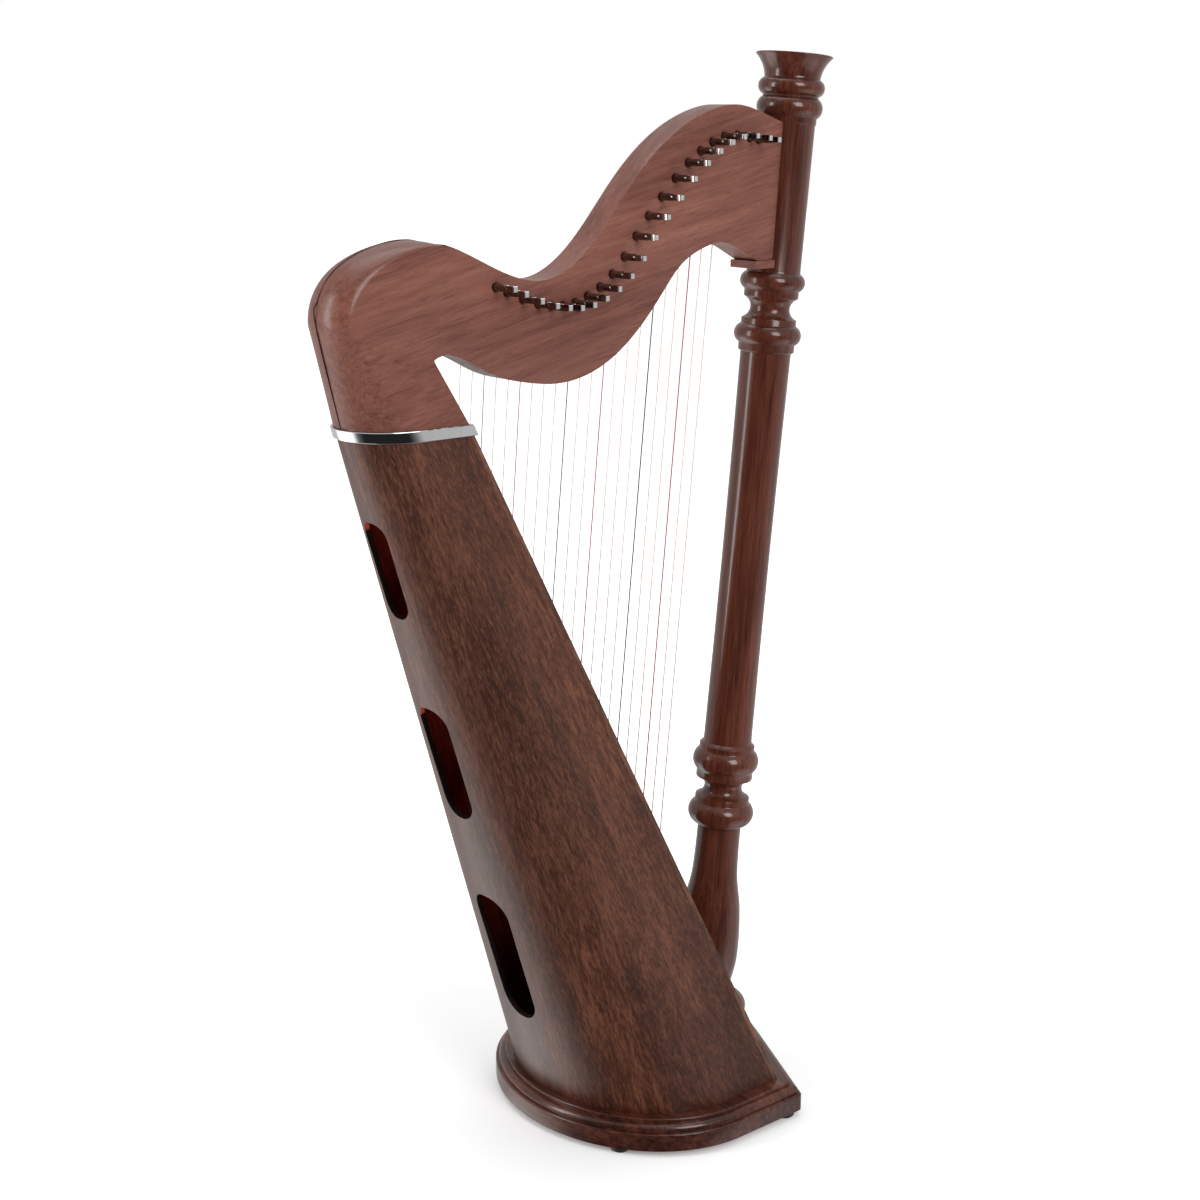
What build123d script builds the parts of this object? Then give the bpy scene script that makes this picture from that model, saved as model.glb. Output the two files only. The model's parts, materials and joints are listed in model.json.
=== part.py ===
"""Celtic harp with 22 strings: a round-backed soundbox on a moulded plinth, a flat neck and a turned pillar.

Millimetres, +Z up, +X from the player's shoulder to the pillar, +Y to the string side of the neck.
The harp stands on four rubber feet. Everything is built in a working frame whose X starts at the
bass string, and is moved as one at the end so that the origin is the bottom centre of its box.
"""
import os
from math import acos, atan2, cos, hypot, radians, sin, tan

from build123d import *

# ---------------------------------------------------------------- driving dimensions
STRINGS = 22
STRING_SPACING = 13.0
STRING_LEAN = 6.5            # degrees forward of upright
STRING_REF_HEIGHT = 504.5    # height at which the bass string crosses X = 0
STRING_BOARD_Y = 0.0         # string plane at the soundboard
STRING_THICK = 1.25          # bass string diameter
STRING_THIN = 0.6            # treble string diameter
RED_STRINGS = (2, 9, 16)
BLACK_STRINGS = (5, 12, 19)

FOOT_HEIGHT = 6.0
FOOT_RADIUS = 10.0
FOOT_BORE = 2.1
FOOT_COUNTERBORE = 4.6
FOOT_COUNTERBORE_DEPTH = 3.2
FOOT_INSET = 11.5            # foot centre inside the plinth's edge
FOOT_BACK_ANGLE = 38.5       # degrees round the plinth's back, from its middle

BASE_SIDE_MARGIN = 21.0      # plinth beyond the soundbox at its sides
BASE_BACK_MARGIN = 16.0
BASE_FRONT_MARGIN = 12.0
BASE_NOSE_RADIUS = 60.0
BASE_BAND = 16.5             # plain lower band
BASE_MOULDING = 7.0          # ovolo above it
BASE_FILLET = 3.5            # thin upper fillet
BASE_STEP = 3.0
BASE_TOP_INSET = 9.5
BASE_CORNER = 5.0            # rounding of the two front corners

BOX_TOP_HEIGHT = 669.5       # joint between soundbox and shoulder
BOX_WALL = 5.0
BOARD_THICK = 4.4
BOX_BOTTOM = dict(front=8.0, centre=-60.0, depth=111.0, half=127.0)
BOX_TOP = dict(front=-273.5, centre=-322.0, depth=46.0, half=43.5)
LINING_WIDTH = 12.0
LINING_DEPTH = 14.0
TOP_BLOCK_HEIGHT = 18.0
RIB_WIDTH_BOTTOM = 26.0
RIB_WIDTH_TOP = 16.0
OUTER_RIB_THICK = 3.0
INNER_RIB_THICK = 8.0
RIB_BOTTOM_GAP = 52.0
RIB_TOP_GAP = 11.0
PIECE_GAP = 0.2              # glue gap between glued or seated pieces

HOLE_HEIGHTS = (553.0, 375.0, 178.0)
HOLE_LENGTHS = (88.5, 110.5, 134.0)
HOLE_WIDTHS = (31.0, 40.0, 46.0)

BAND_HEIGHT = 9.0
BAND_THICK = 2.6
BAND_GAP = 0.15

NECK_THICK = 30.0
NECK_END_BEHIND_AXIS = 16.2
PLATE_LENGTH = 25.0
PLATE_OVERHANG = 1.5
PLATE_THICK = 7.0

PILLAR_X = 22.1              # axis at height zero of the turned profile
PILLAR_LEAN = 5.14           # degrees forward
NECK_MID_HEIGHT = 850.0      # here the pillar's axis is in the middle of the neck's thickness
PILLAR_ZERO = 4.5            # height at which the profile's length starts
PILLAR_TOP = 966.0
FOOT_JOINT = 74.0
BOLT_RADIUS = 4.0
BOLT_LENGTH = 95.0
BOLT_HEAD_RADIUS = 7.5
BOLT_HEAD_THICK = 5.0
WASHER_RADIUS = 11.0
WASHER_THICK = 1.6
DOWEL_RADIUS = 4.0
DOWEL_LENGTH = 32.0

PIN_RADIUS = 3.15
PIN_CLEARANCE = 0.05
PIN_RIGHT = 26.4             # stands out of the right face
PIN_LEFT = 15.0              # stands out of the string side
PIN_SQUARE = 5.0
PIN_SQUARE_LENGTH = 9.5
PIN_TAPER = 2.6
PIN_SINK_RADIUS = 4.6
PIN_SINK_DEPTH = 1.4
BRIDGE_RADIUS = 1.5
BRIDGE_GAP = 0.12
BRIDGE_FIT = 0.02            # press fits of bridge pins and eyelets are modelled just clear
BRIDGE_OUT = 12.0
BRIDGE_DEPTH = 12.0
BRIDGE_DROP = 27.0           # bridge pin below its tuning pin
STRING_OFF_NECK = 8.0
WIND_GAP = 0.12
WIND_TURNS = 5
EYELET_BORE = 1.5
EYELET_RADIUS = 2.3
EYELET_FLANGE = 3.6
EYELET_FLANGE_THICK = 0.8
STRING_BEND = 2.6            # bend radius where a string leaves its eyelet
KNOT_RADIUS = 2.6

BASE_TOP = FOOT_HEIGHT + BASE_BAND + BASE_MOULDING + BASE_FILLET
BASE_HEIGHT = BASE_BAND + BASE_MOULDING + BASE_FILLET
BASE_HALF_WIDTH = BOX_BOTTOM["half"] + BASE_SIDE_MARGIN
BASE_BACK_CENTRE = BOX_BOTTOM["centre"]
BASE_BACK_DEPTH = BOX_BOTTOM["depth"] + BASE_BACK_MARGIN
BASE_SIDE_END = BOX_BOTTOM["front"] + BASE_FRONT_MARGIN
PILLAR_SIDE_RATIO = NECK_THICK / 2 / (NECK_MID_HEIGHT - BASE_TOP)
NECK_FACE_Y = -NECK_THICK

# neck outline, in X and Z: from the shoulder to the pillar along the top, then back along the bottom
NECK_TOP = [
    (-287, 816), (-254, 802.5), (-212, 785.5), (-186, 783), (-160, 792.5), (-124, 823.5),
    (-86, 866.5), (-46, 899.5), (0, 919.5), (27, 923), (55, 917), (88, 906.5),
]
NECK_BOTTOM = [
    (55, 786.5), (32, 798.5), (12, 805), (-10, 801.5), (-35, 789.5), (-58, 765.5), (-88, 733.5),
    (-120, 710.5), (-149, 699.5), (-177, 696.5), (-204, 699.5), (-240, 709), (-276, 726.5), (-287, 729.5),
]
# every third tuning pin, bass first: the others lie on the smooth S curve through these
PIN_CURVE = [
    (53.5, 893), (12, 896), (-30, 874.5), (-75, 831),
    (-115, 784), (-155.5, 762.5), (-194.5, 764), (-237.5, 780),
]
# shoulder stations from the band over the back to the neck: inner and outer point in X and Z, depth of the
# right half's rounded corner, then the left half's width and the depth of its rounded corner
SHOULDER = [
    ((-299, 724.5), (-389, 757.5), 17.0, 33.0, 26.0),
    ((-299, 725.5), (-386.5, 776), 17.0, 31.0, 25.0),
    ((-298, 726.5), (-374, 795.5), 16.0, 28.0, 22.0),
    ((-296, 727.5), (-352, 809.5), 12.0, 22.0, 16.0),
    ((-293, 728.5), (-324, 817.5), 7.0, 14.0, 10.0),
    ((-290, 729), (-303, 819), 4.0, 7.0, 5.0),
    ((-287, 729.5), (-287, 816), 2.0, 3.0, 2.5),
]


# ---------------------------------------------------------------- helpers
def solid_of(shape):
    """The one solid of a boolean result."""
    solids = shape.solids()
    return solids[0] if len(solids) == 1 else Compound(solids)


def box_section(height):
    """The soundbox outline's sizes at a height: they change evenly from bottom to top."""
    share = (height - BASE_TOP) / (BOX_TOP_HEIGHT - BASE_TOP)
    return {key: BOX_BOTTOM[key] + share * (BOX_TOP[key] - BOX_BOTTOM[key]) for key in BOX_BOTTOM}


def d_face(height, grow=0.0, front=0.0):
    """A horizontal face of the soundbox: flat front, straight sides and half an ellipse at the back."""
    size = box_section(height)
    half = size["half"] + grow
    depth = size["depth"] + grow
    flat = size["front"] + front
    centre = size["centre"]
    outline = Polyline((centre, half), (flat, half), (flat, -half), (centre, -half))
    outline += EllipticalCenterArc((centre, 0), depth, half, start_angle=90, arc_size=180)
    return Pos(0, 0, height) * make_face(outline)


def d_loft(low, high, grow=0.0, front=0.0):
    """The soundbox's body between two heights."""
    return loft([d_face(low, grow, front), d_face(high, grow, front)], ruled=True)


def board_strip(low, high, inner, outer, half_low, half_high):
    """A strip that lies along the soundboard, between two distances in front of its face."""
    faces = []
    for height, half in ((low, half_low), (high, half_high)):
        flat = box_section(height)["front"]
        rectangle = Polyline(
            (flat + inner, half), (flat + outer, half),
            (flat + outer, -half), (flat + inner, -half), close=True,
        )
        faces.append(Pos(0, 0, height) * make_face(rectangle))
    return loft(faces, ruled=True)


def cylinder_between(start, end, radius):
    """A round bar from one point to another."""
    start, end = Vector(*start), Vector(*end)
    along = end - start
    return extrude(Plane(origin=start, z_dir=along) * Circle(radius), along.length)


def along_y(place, start, end, radius):
    """A round bar along Y through a place in X and Z."""
    return cylinder_between((place[0], start, place[1]), (place[0], end, place[1]), radius)


# ---------------------------------------------------------------- base
def base_outline(inset=0.0):
    """The plinth's outline: half an ellipse at the back, straight sides, and a front with a round nose."""
    half = BASE_HALF_WIDTH - inset
    depth = BASE_BACK_DEPTH - inset
    nose = BASE_NOSE_RADIUS - inset
    centre = pillar_point(BASE_TOP).X
    side_end = BASE_SIDE_END - inset * tan(radians(31.0))
    touch = atan2(half, side_end - centre) - acos(nose / hypot(side_end - centre, half))
    tip = (centre + nose * cos(touch), nose * sin(touch))
    outline = Polyline((BASE_BACK_CENTRE, half), (side_end, half), tip)
    outline += ThreePointArc(tip, (centre + nose, 0), (tip[0], -tip[1]))
    outline += Polyline((tip[0], -tip[1]), (side_end, -half), (BASE_BACK_CENTRE, -half))
    outline += EllipticalCenterArc((BASE_BACK_CENTRE, 0), depth, half, start_angle=90, arc_size=180)
    face = make_face(outline)
    corners = [v for v in face.vertices() if abs(v.X - side_end) < 0.01 and abs(abs(v.Y) - half) < 0.01]
    return fillet(corners, BASE_CORNER)


def foot_places():
    """The four feet's X and Y: near the ends of the sides and round the back."""
    half = BASE_HALF_WIDTH - FOOT_INSET
    depth = BASE_BACK_DEPTH - FOOT_INSET
    angle = radians(FOOT_BACK_ANGLE)
    back = (BASE_BACK_CENTRE - depth * cos(angle), half * sin(angle))
    front = (BASE_SIDE_END - FOOT_INSET, half)
    return [front, back, (back[0], -back[1]), (front[0], -front[1])]


def base_plinth():
    """The plinth: a plain band, an ovolo above it and a thin top fillet."""
    band = extrude(base_outline(), BASE_BAND)
    band = fillet(band.faces().sort_by(Axis.Z)[-1].edges(), 1.5)
    ovolo = Pos(0, 0, BASE_BAND) * extrude(base_outline(BASE_STEP), BASE_MOULDING)
    ovolo = fillet(ovolo.faces().sort_by(Axis.Z)[-1].edges(), BASE_MOULDING - 1.5)
    top = extrude(base_outline(BASE_TOP_INSET), BASE_HEIGHT)
    top = fillet(top.faces().sort_by(Axis.Z)[-1].edges(), 1.2)
    plinth = Pos(0, 0, FOOT_HEIGHT) * (band + ovolo + top)
    for x, y in foot_places():
        plinth -= cylinder_between((x, y, FOOT_HEIGHT), (x, y, FOOT_HEIGHT + 13), FOOT_BORE)
    axis = Plane(origin=pillar_point(FOOT_HEIGHT), z_dir=pillar_direction())
    plinth -= axis * Pos(0, 0, -5) * extrude(Circle(BOLT_RADIUS + PIECE_GAP), BASE_HEIGHT + 20)
    well_depth = 5 + BOLT_HEAD_THICK + WASHER_THICK + 2
    plinth -= axis * Pos(0, 0, -5) * extrude(Circle(WASHER_RADIUS + 1), well_depth)
    return solid_of(plinth)


def rubber_feet():
    """Four turned rubber feet with a counterbored hole."""
    profile = Polyline(
        (FOOT_BORE, FOOT_COUNTERBORE_DEPTH), (FOOT_COUNTERBORE, FOOT_COUNTERBORE_DEPTH),
        (FOOT_COUNTERBORE, 0), (FOOT_RADIUS - 2, 0), (FOOT_RADIUS - 0.8, 1.2), (FOOT_RADIUS, FOOT_HEIGHT),
        (FOOT_BORE, FOOT_HEIGHT), close=True,
    )
    foot = revolve(Plane.XZ * make_face(profile), Axis.Z)
    return Compound([Pos(x, y, 0) * foot for x, y in foot_places()])


def foot_screws():
    """A pan-head screw through each foot into the plinth."""
    shank = FOOT_BORE - 0.1
    profile = Polyline((0, 1.0), (3.2, 1.0), (4.0, 1.8), (4.0, FOOT_COUNTERBORE_DEPTH),
                       (shank, FOOT_COUNTERBORE_DEPTH), (shank, 16), (0, 18.5), close=True)
    screw = revolve(Plane.XZ * make_face(profile), Axis.Z)
    screw -= Pos(0, 0, 1.3) * Box(1, 4.6, 1.2)
    screw -= Pos(0, 0, 1.3) * Box(4.6, 1, 1.2)
    return Compound([Pos(x, y, 0) * solid_of(screw) for x, y in foot_places()])


# ---------------------------------------------------------------- soundbox
def soundbox_back():
    """The round back: one bent shell, open to the front, with three long sound holes."""
    outer = d_loft(BASE_TOP, BOX_TOP_HEIGHT, front=-BOARD_THICK)
    inner = d_loft(BASE_TOP, BOX_TOP_HEIGHT, grow=-BOX_WALL, front=2 * BOARD_THICK)
    shell = outer - inner
    low, high = box_section(BASE_TOP), box_section(BOX_TOP_HEIGHT)
    back_run = (high["centre"] - high["depth"]) - (low["centre"] - low["depth"])
    outward = Vector(-(BOX_TOP_HEIGHT - BASE_TOP), 0, back_run)
    for height, length, width in zip(HOLE_HEIGHTS, HOLE_LENGTHS, HOLE_WIDTHS):
        size = box_section(height)
        plane = Plane(origin=(size["centre"] - size["depth"], 0, height), x_dir=(0, 1, 0), z_dir=outward)
        shell -= plane * extrude(RectangleRounded(width, length, 0.45 * width), 30, both=True)
    return solid_of(shell)


def soundboard():
    """The flat soundboard, glued on the shell's front edges, with a hole under each string."""
    low, high = box_section(BASE_TOP), box_section(BOX_TOP_HEIGHT)
    board = board_strip(BASE_TOP, BOX_TOP_HEIGHT, -BOARD_THICK, 0, low["half"], high["half"])
    return solid_of(board - string_holes())


def outer_string_rib():
    """The hardwood strip that the strings come out of."""
    low, high = BASE_TOP + RIB_BOTTOM_GAP, BOX_TOP_HEIGHT - RIB_TOP_GAP
    rib = board_strip(low, high, 0, OUTER_RIB_THICK, RIB_WIDTH_BOTTOM / 2, RIB_WIDTH_TOP / 2)
    return solid_of(rib - string_holes())


def inner_string_rib():
    """The stiff bar behind the soundboard that carries the pull of the strings."""
    low, high = BASE_TOP, BOX_TOP_HEIGHT - TOP_BLOCK_HEIGHT
    start = -BOARD_THICK - INNER_RIB_THICK
    rib = board_strip(low, high, start, -BOARD_THICK, RIB_WIDTH_BOTTOM / 2, RIB_WIDTH_TOP / 2)
    return solid_of(rib - string_holes())


def side_lining(side):
    """The strip in the corner between shell and soundboard, on the left (+1) or the right (-1)."""
    faces = []
    for height in (BASE_TOP, BOX_TOP_HEIGHT - TOP_BLOCK_HEIGHT):
        size = box_section(height)
        edge = size["half"] - BOX_WALL
        front = size["front"] - BOARD_THICK
        corner = Polyline(
            (front, side * edge), (front, side * (edge - LINING_WIDTH)),
            (front - LINING_DEPTH / 2, side * (edge - LINING_WIDTH)), (front - LINING_DEPTH, side * edge),
            close=True,
        )
        faces.append(Pos(0, 0, height) * make_face(corner))
    return solid_of(loft(faces, ruled=True))


def top_block():
    """The solid block inside the top of the soundbox, which the shoulder is glued and doweled to."""
    low = BOX_TOP_HEIGHT - TOP_BLOCK_HEIGHT
    block = d_loft(low, BOX_TOP_HEIGHT, grow=-BOX_WALL, front=-BOARD_THICK)
    for dowel in dowel_bars(PIECE_GAP / 2):
        block -= dowel
    return solid_of(block)


def chrome_band():
    """The polished metal band that covers the joint between soundbox and shoulder."""
    low, high = BOX_TOP_HEIGHT - BAND_HEIGHT / 2, BOX_TOP_HEIGHT + BAND_HEIGHT / 2
    outer = d_loft(low, high, grow=BAND_GAP + BAND_THICK, front=BAND_GAP + BAND_THICK)
    inner = d_loft(low, high, grow=BAND_GAP, front=BAND_GAP)
    return solid_of(outer - inner)


# ---------------------------------------------------------------- shoulder and neck
def half_section(inner, outer, half, depth, side):
    """Half a shoulder section: flat on the centre plane, with a quarter ellipse at the outer corner."""
    inward = Vector(inner[0], 0, inner[1])
    run = Vector(outer[0], 0, outer[1]) - inward
    plane = Plane(origin=inward, x_dir=run, z_dir=run.cross(Vector(0, 1, 0)))
    across = 1 if plane.y_dir.Y > 0 else -1
    wide = side * across * half
    flat = run.length - depth
    outline = Polyline((run.length, 0), (0, 0), (0, wide), (flat, wide))
    outline += EllipticalCenterArc((flat, 0), depth, half, start_angle=0, arc_size=90 if wide > 0 else -90)
    return plane * make_face(outline)


def shoulder_half(side):
    """The shoulder on one side of its centre seam, from the band's joint to the neck."""
    top = BOX_TOP_HEIGHT + BAND_HEIGHT / 2
    sections = []
    for height in (BOX_TOP_HEIGHT, top):
        size = box_section(height)
        outer = (size["centre"] - size["depth"], height)
        sections.append(half_section((size["front"], height), outer, size["half"], size["depth"], side))
    for inner, outer, right_depth, left_half, left_depth in SHOULDER:
        half, depth = (NECK_THICK, right_depth) if side < 0 else (left_half, left_depth)
        sections.append(half_section(inner, outer, half, depth, side))
    body = loft(sections[:2], ruled=True)
    body += loft(sections[1:3], ruled=True)
    return body + loft(sections[2:])


def neck_board(spare=0.0):
    """The neck's flat board, from the shoulder to the pillar."""
    end_top, end_low = neck_end(NECK_TOP[-1][1]), neck_end(NECK_BOTTOM[0][1])
    outline = Spline(*NECK_TOP[:-1], end_top)
    outline += Polyline(end_top, end_low, NECK_BOTTOM[0])
    outline += Spline(*NECK_BOTTOM)
    outline += Line(NECK_BOTTOM[-1], NECK_TOP[0])
    return Pos(0, spare, 0) * extrude(Plane.XZ * make_face(outline), NECK_THICK + 2 * spare)


def neck():
    """The neck board in one piece with the right half of the shoulder, bored for its pins."""
    body = neck_board() + shoulder_half(-1)
    for place in pin_places():
        body -= along_y(place, -NECK_THICK - 1, 1, PIN_RADIUS + PIN_CLEARANCE)
        sink = Plane(origin=(place[0], NECK_FACE_Y, place[1]), z_dir=(0, 1, 0))
        body -= sink * Pos(0, 0, PIN_SINK_DEPTH / 2) * Cone(PIN_SINK_RADIUS, PIN_RADIUS, PIN_SINK_DEPTH)
    for place in bridge_places():
        body -= along_y(place, -BRIDGE_DEPTH, 1, BRIDGE_RADIUS + BRIDGE_FIT)
    for dowel in dowel_bars(PIECE_GAP / 2) + neck_dowel_bars(PIECE_GAP / 2):
        body -= dowel
    return solid_of(body)


def shoulder_left():
    """The left half of the shoulder, glued to the neck board along the centre seam."""
    body = shoulder_half(1)
    for dowel in dowel_bars(PIECE_GAP / 2):
        body -= dowel
    return solid_of(body)


def dowel_bars(grow=0.0):
    """Four dowels, upright, from the top block into the two halves of the shoulder."""
    size = box_section(BOX_TOP_HEIGHT)
    bars = []
    for x in (size["centre"] + 18, size["centre"] - 16):
        for y in (20, -20):
            low, high = BOX_TOP_HEIGHT - DOWEL_LENGTH / 2, BOX_TOP_HEIGHT + DOWEL_LENGTH / 2
            bars.append(cylinder_between((x, y, low - grow), (x, y, high + grow), DOWEL_RADIUS + grow))
    return bars


def neck_dowel_bars(grow=0.0):
    """Two dowels from the neck's end into the pillar."""
    bars = []
    for height in (820, 875):
        x, z = neck_end(height)
        lean = radians(PILLAR_LEAN)
        reach = 14 + grow
        start = (x - reach * cos(lean), NECK_FACE_Y / 2, z + reach * sin(lean))
        end = (x + reach * cos(lean), NECK_FACE_Y / 2, z - reach * sin(lean))
        bars.append(cylinder_between(start, end, DOWEL_RADIUS + grow))
    return bars


def plate_board(spare=0.0):
    """The plate's block, from under the neck to the pillar."""
    height = NECK_BOTTOM[0][1]
    x = neck_end(height)[0]
    low = neck_end(height - PLATE_THICK)
    outline = Polyline((x - PLATE_LENGTH, height), (x, height), low, (x - PLATE_LENGTH, low[1]), close=True)
    side = PLATE_OVERHANG + spare
    return Pos(0, side, 0) * extrude(Plane.XZ * make_face(outline), NECK_THICK + 2 * side)


def neck_plate():
    """The small flat plate under the neck's end, beside the pillar."""
    plate = plate_board()
    return solid_of(chamfer(plate.faces().sort_by(Axis.Z)[0].edges().sort_by(Axis.X)[0], 0.6))


# ---------------------------------------------------------------- pillar
def pillar_direction():
    """The direction of the pillar's axis."""
    return Vector(tan(radians(PILLAR_LEAN)), -PILLAR_SIDE_RATIO, 1).normalized()


def pillar_point(height):
    """The point of the pillar's axis at a height."""
    rise = height - PILLAR_ZERO
    side = -PILLAR_SIDE_RATIO * (height - BASE_TOP)
    return Vector(PILLAR_X + rise * tan(radians(PILLAR_LEAN)), side, height)


def neck_end(height):
    """The neck's end at a height, in X and Z: it runs parallel to the pillar."""
    return (pillar_point(height).X - NECK_END_BEHIND_AXIS, height)


def pillar_plane():
    """The plane in which the turned profile starts."""
    return Plane(origin=pillar_point(PILLAR_ZERO), x_dir=(1, 0, 0), z_dir=pillar_direction())


def turned(segments):
    """A turned solid about the pillar's axis, from the segments of its profile (radius, length)."""
    outline = segments[0]
    for segment in segments[1:]:
        outline += segment
    start, end = outline @ 0, outline @ 1
    outline += Polyline(end, (0, end.Y), (0, start.Y), start)
    return pillar_plane() * revolve(Plane.XZ * make_face(outline), Axis.Z)


def pillar():
    """The turned pillar: vase, two groups of rings, plain shafts and a flared cap."""
    segments = [
        Line((19, FOOT_JOINT), (25, FOOT_JOINT)),
        Spline((25, FOOT_JOINT), (29.9, 106), (28.2, 154), (22.6, 188), (21.2, 215), (21, 241)),
        ThreePointArc((21, 241), (31.8, 254), (26.2, 264.5)),
        Polyline((26.2, 264.5), (26.2, 270), (23.5, 271.5)),
        ThreePointArc((23.5, 271.5), (18.2, 279.5), (23.5, 287.5)),
        Polyline((23.5, 287.5), (27.2, 289), (27.2, 296)),
        ThreePointArc((27.2, 296), (31.7, 306.5), (26.6, 317)),
        Polyline((26.6, 317), (26.6, 322), (23.2, 325)),
        ThreePointArc((23.2, 325), (22.4, 513), (23.5, 699)),
        Polyline((23.5, 699), (26, 701), (26, 707)),
        ThreePointArc((26, 707), (31.1, 716.5), (25.4, 725)),
        Polyline((25.4, 725), (25.4, 730), (23, 731.5)),
        ThreePointArc((23, 731.5), (18.2, 740), (23, 748.5)),
        Polyline((23, 748.5), (25.2, 750), (25.2, 756)),
        ThreePointArc((25.2, 756), (30, 764), (25, 772.5)),
        Polyline((25, 772.5), (24.8, 774), (24.6, 905), (25.4, 906), (25.4, 911)),
        ThreePointArc((25.4, 911), (29.9, 919.8), (25.3, 928.6)),
        Line((25.3, 928.6), (25.3, 930)),
        ThreePointArc((25.3, 930), (30.1, 937.5), (25.4, 945)),
        Line((25.4, 945), (25.4, 947)),
        ThreePointArc((25.4, 947), (28.2, 956), (34.75, 965)),
        Line((34.75, 965), (34.2, PILLAR_TOP)),
    ]
    body = turned(segments)
    body -= neck_board(PIECE_GAP)
    body -= plate_board(PIECE_GAP)
    for dowel in neck_dowel_bars(PIECE_GAP / 2):
        body -= dowel
    body -= bolt_bar(PIECE_GAP / 2)
    return solid_of(body)


def pillar_foot():
    """The wide turned ring under the vase, cut flat at the back where it meets the soundboard."""
    segments = [
        Line((36, 5), (40, 5)),
        Line((40, 5), (40, 42)),
        Polyline((40, 42), (37, 44), (37, 46.5)),
        ThreePointArc((37, 46.5), (43, 56), (36, 65)),
        Line((36, 65), (34, 66)),
        ThreePointArc((34, 66), (28, 69), (25.5, FOOT_JOINT)),
    ]
    body = turned(segments)
    low = Pos(0, 0, BASE_TOP / 2) * Box(300, 300, BASE_TOP)
    body -= low
    body -= board_strip(BASE_TOP - 10, BASE_TOP + 120, -150, PIECE_GAP, 150, 150)
    body -= bolt_bar(PIECE_GAP / 2)
    return solid_of(body)


def bolt_bar(grow=0.0):
    """The bolt's shank along the pillar's axis."""
    start = pillar_point(FOOT_HEIGHT) + pillar_direction() * (BOLT_HEAD_THICK + WASHER_THICK + 2)
    end = start + pillar_direction() * (BOLT_LENGTH + grow)
    return cylinder_between(tuple(start), tuple(end), BOLT_RADIUS + grow)


def pillar_bolt():
    """The hexagon bolt from under the plinth up into the pillar."""
    start = pillar_point(FOOT_HEIGHT) + pillar_direction() * 2
    head = Plane(origin=start, z_dir=pillar_direction()) * extrude(
        RegularPolygon(BOLT_HEAD_RADIUS, 6), BOLT_HEAD_THICK
    )
    shank = cylinder_between(tuple(start), tuple(start + pillar_direction() * (BOLT_LENGTH + 6)), BOLT_RADIUS)
    return solid_of(head + shank)


def bolt_washer():
    """The washer between the bolt's head and the plinth."""
    start = pillar_point(FOOT_HEIGHT) + pillar_direction() * (2 + BOLT_HEAD_THICK)
    ring = Circle(WASHER_RADIUS) - Circle(BOLT_RADIUS + PIECE_GAP)
    return solid_of(Plane(origin=start, z_dir=pillar_direction()) * extrude(ring, WASHER_THICK))


# ---------------------------------------------------------------- strings and pins
def string_radius(index):
    """The string's radius: strings get thinner evenly from bass to treble."""
    share = index / (STRINGS - 1)
    return (STRING_THICK + share * (STRING_THIN - STRING_THICK)) / 2


def string_x(index, height):
    """Where a string's line is at a height."""
    return -STRING_SPACING * index + (height - STRING_REF_HEIGHT) * tan(radians(STRING_LEAN))


def pin_places():
    """The tuning pins' places in X and Z, by cubic interpolation between every third pin."""
    places = []
    for index in range(STRINGS):
        start = min(index // 3, len(PIN_CURVE) - 2)
        share = index / 3 - start
        last = len(PIN_CURVE) - 1
        before, here, there, after = (PIN_CURVE[max(0, min(start + i, last))] for i in (-1, 0, 1, 2))
        place = []
        for a, b, c, d in zip(before, here, there, after):
            tangent_in, tangent_out = (c - a) / 2, (d - b) / 2
            bend = 3 * (c - b) - 2 * tangent_in - tangent_out
            twist = 2 * (b - c) + tangent_in + tangent_out
            place.append(b + share * (tangent_in + share * (bend + share * twist)))
        places.append(tuple(place))
    return places


def bridge_places():
    """Bridge pin centres in X and Z: each touches its string on the pillar's side."""
    places = []
    for index, (_, pin_z) in enumerate(pin_places()):
        height = pin_z - BRIDGE_DROP
        places.append((string_x(index, height) + BRIDGE_RADIUS + string_radius(index) + BRIDGE_GAP, height))
    return places


def board_height(index, off):
    """Height at which a string's line meets a plane that lies a distance in front of the soundboard."""
    low, high = box_section(BASE_TOP), box_section(BOX_TOP_HEIGHT)
    slope = (high["front"] - low["front"]) / (BOX_TOP_HEIGHT - BASE_TOP)
    flat = low["front"] - slope * BASE_TOP + off
    lean = tan(radians(STRING_LEAN))
    return (flat + STRING_SPACING * index + STRING_REF_HEIGHT * lean) / (lean - slope)


def board_normal():
    """The direction straight out of the soundboard."""
    low, high = box_section(BASE_TOP), box_section(BOX_TOP_HEIGHT)
    slope = (high["front"] - low["front"]) / (BOX_TOP_HEIGHT - BASE_TOP)
    return Vector(1, 0, -slope).normalized()


def string_corner(index):
    """The corner of a string's route just in front of its eyelet."""
    lift = EYELET_FLANGE_THICK + STRING_BEND * 0.66
    off = OUTER_RIB_THICK + lift / board_normal().X
    height = board_height(index, off)
    return Vector(string_x(index, height), STRING_BOARD_Y, height)


def eyelet_seat(index):
    """The point on the outer rib's face straight behind a string's corner."""
    return string_corner(index) - board_normal() * (EYELET_FLANGE_THICK + STRING_BEND * 0.66)


def string_holes():
    """The holes for eyelets and strings through ribs and soundboard."""
    holes = []
    for index in range(STRINGS):
        seat = eyelet_seat(index)
        plane = Plane(origin=seat, z_dir=board_normal())
        holes.append(plane * extrude(Circle(EYELET_RADIUS + BRIDGE_FIT), 8, both=True))
        holes.append(plane * Pos(0, 0, -25) * extrude(Circle(EYELET_BORE), 26))
    return holes


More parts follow.
